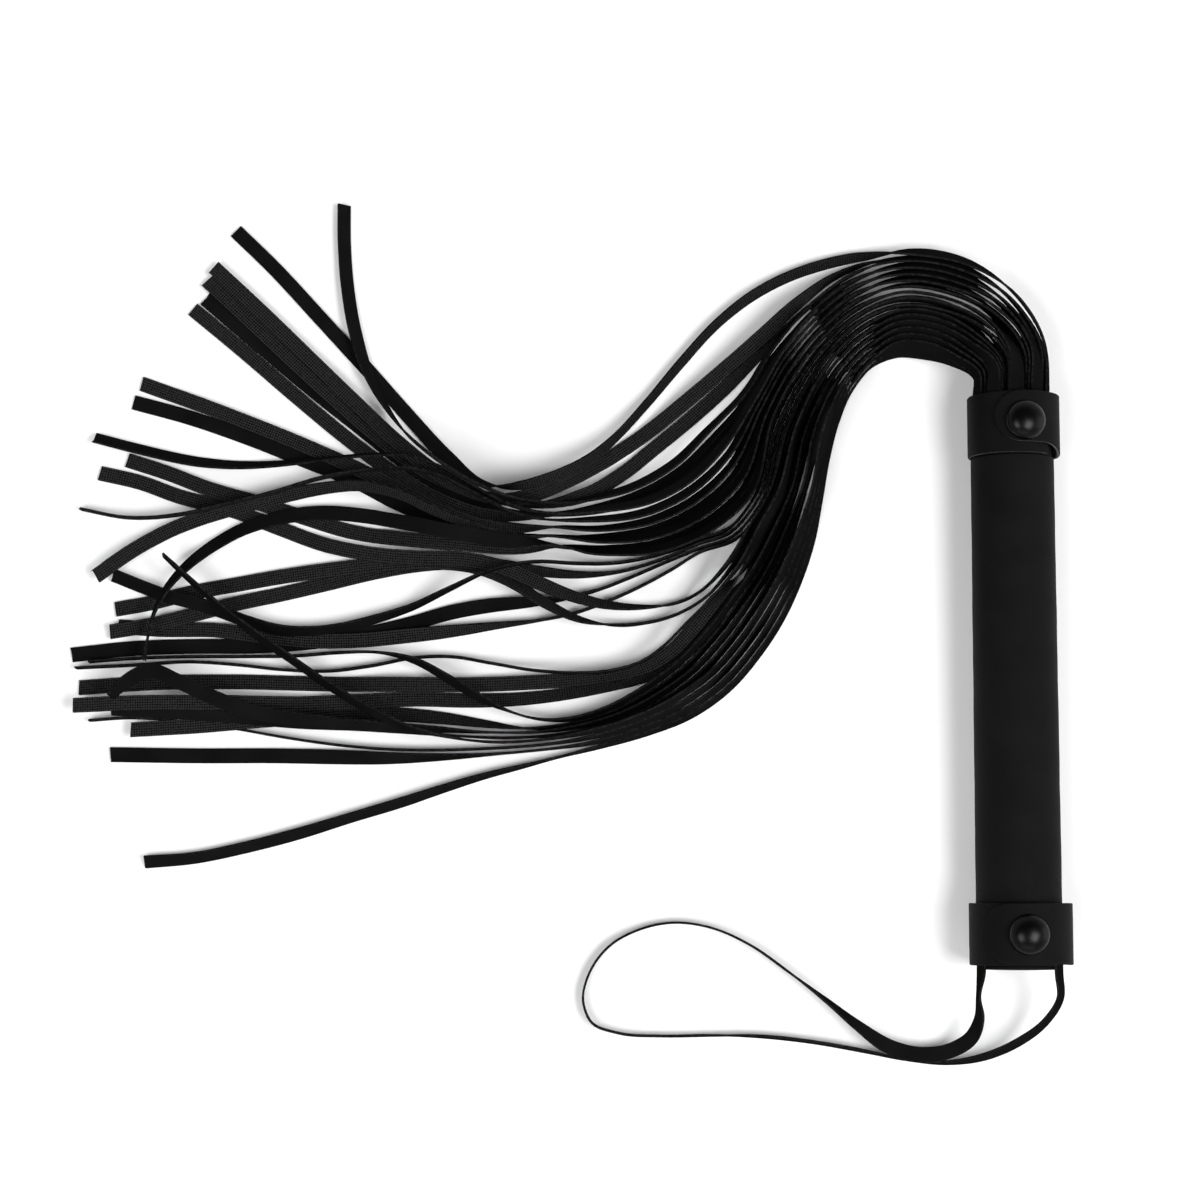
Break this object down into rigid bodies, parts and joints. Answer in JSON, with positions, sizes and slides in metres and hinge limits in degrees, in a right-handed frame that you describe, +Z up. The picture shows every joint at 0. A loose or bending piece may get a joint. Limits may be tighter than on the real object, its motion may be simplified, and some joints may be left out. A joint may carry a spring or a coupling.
{
  "type": "many-tailed short whip",
  "caption": "Short whip with many flat falls, a wrapped handle with a riveted collar at each end, and a wrist strap.",
  "frame": {"origin": "on the surface the whip lies on, under the middle of the handle", "axes": "+Y along the handle from its butt to the collar the falls leave, +Z up from the surface; the falls lie towards -X"},
  "size_m": [0.3208, 0.2804, 0.0371],
  "materials": {
    "wrap": "smooth matt black coated leather",
    "core": "plain turned wood",
    "rivet": "satin black painted dome rivets",
    "strap": "semi-matt black coated strip with a woven black back"
  },
  "bodies": {
    "root": {"butt_disc": "wrap", "handle_sleeve": "wrap", "collar_top": "wrap", "collar_bottom": "wrap", "handle_core": "core", "rivet_cap_top": "rivet", "rivet_post_top": "rivet", "rivet_cap_bottom": "rivet", "rivet_post_bottom": "rivet", "fall_01": "strap", "fall_02": "strap", "fall_03": "strap", "fall_04": "strap", "fall_05": "strap", "fall_06": "strap", "fall_07": "strap", "fall_08": "strap", "fall_09": "strap", "fall_10": "strap", "fall_11": "strap", "fall_12": "strap", "fall_13": "strap", "fall_14": "strap", "fall_15": "strap", "fall_16": "strap", "fall_17": "strap", "fall_18": "strap", "fall_19": "strap", "fall_20": "strap", "fall_21": "strap", "fall_22": "strap", "fall_23": "strap", "fall_24": "strap", "fall_25": "strap", "fall_26": "strap", "fall_27": "strap", "fall_28": "strap", "fall_29": "strap", "fall_30": "strap", "wrist_strap": "strap"}
  },
  "joints": []
}
